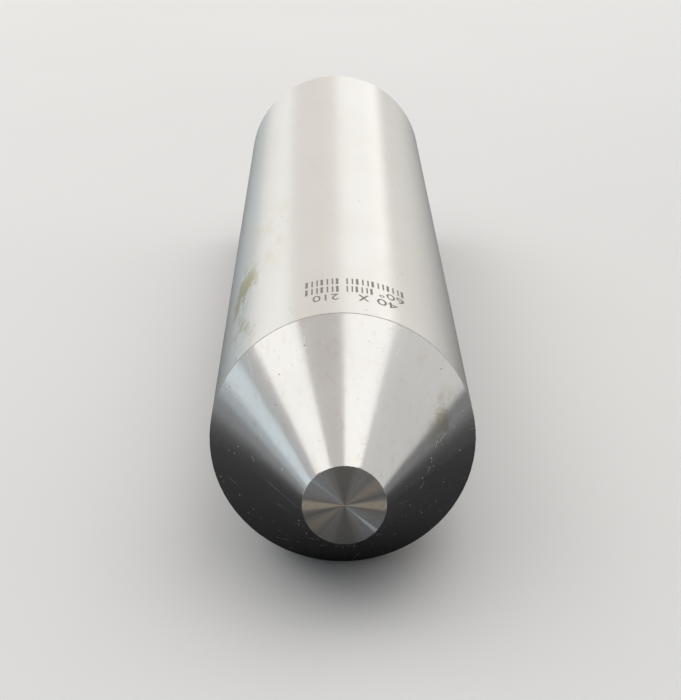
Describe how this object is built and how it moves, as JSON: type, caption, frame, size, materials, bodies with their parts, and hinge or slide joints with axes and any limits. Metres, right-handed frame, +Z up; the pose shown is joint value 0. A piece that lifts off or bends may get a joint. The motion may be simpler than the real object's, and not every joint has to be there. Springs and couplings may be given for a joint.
{
  "type": "live center",
  "caption": "Lathe live center: a plain ground cylindrical shank with a flush, truncated conical nose that turns in sealed bearings, and a threaded rear plug.",
  "frame": {"origin": "centre of the housing's rear end face, on the spindle axis", "axes": "+Y along the spindle axis out of the rear end, so the nose points to -Y; +Z up as the center lies on its side; +X to the right seen from the nose"},
  "size_m": [0.04, 0.2101, 0.04],
  "materials": {
    "ground_steel": "cylindrically ground tool steel, satin, with light oil stains",
    "nose_steel": "finely ground hardened steel, brighter than the shank, with faint rings",
    "plug_steel": "turned steel with concentric tool marks",
    "bearing_steel": "ground bearing steel",
    "ball_steel": "lapped, mirror bright",
    "dark_steel": "pressed spring steel, dull",
    "black_steel": "black oxide",
    "cage_brass": "machined",
    "cage_polymer": "moulded",
    "seal_rubber": "matt nitrile"
  },
  "bodies": {
    "housing": {"housing": "ground_steel", "seal_case": "dark_steel", "seal_lip": "seal_rubber", "needle_outer_ring": "bearing_steel", "thrust_housing_washer": "bearing_steel", "preload_disc_springs": "dark_steel", "rear_outer_ring": "bearing_steel", "rear_shields": "dark_steel", "rear_plug": "plug_steel", "plug_o_ring": "seal_rubber", "grease_screw": "black_steel"},
    "spindle": {"spindle": "nose_steel", "needle_inner_ring": "bearing_steel", "thrust_collar": "bearing_steel", "thrust_shaft_washer": "bearing_steel", "rear_inner_ring": "bearing_steel", "lock_washer": "dark_steel", "lock_nut": "black_steel"},
    "needle_set": {"needle_cage": "cage_polymer", "needle_rollers": "ball_steel"},
    "thrust_set": {"thrust_cage": "cage_brass", "thrust_balls": "ball_steel"},
    "rear_set": {"rear_cage": "bearing_steel", "rear_balls": "ball_steel"}
  },
  "joints": [
    {"name": "spindle_spin", "type": "hinge", "parent": "housing", "child": "spindle", "pos_m": [0, -0.1855, 0], "axis": [0, 1, 0], "continuous": true},
    {"name": "needle_set_orbit", "type": "hinge", "parent": "housing", "child": "needle_set", "pos_m": [0, -0.1695, 0], "axis": [0, 1, 0], "continuous": true},
    {"name": "thrust_set_orbit", "type": "hinge", "parent": "housing", "child": "thrust_set", "pos_m": [0, -0.154, 0], "axis": [0, 1, 0], "continuous": true},
    {"name": "rear_set_orbit", "type": "hinge", "parent": "housing", "child": "rear_set", "pos_m": [0, -0.055, 0], "axis": [0, 1, 0], "continuous": true}
  ],
  "couplings": [
    {"joint": "needle_set_orbit", "follows": "spindle_spin", "ratio": 0.4528},
    {"joint": "thrust_set_orbit", "follows": "spindle_spin", "ratio": 0.5},
    {"joint": "rear_set_orbit", "follows": "spindle_spin", "ratio": 0.3987}
  ]
}
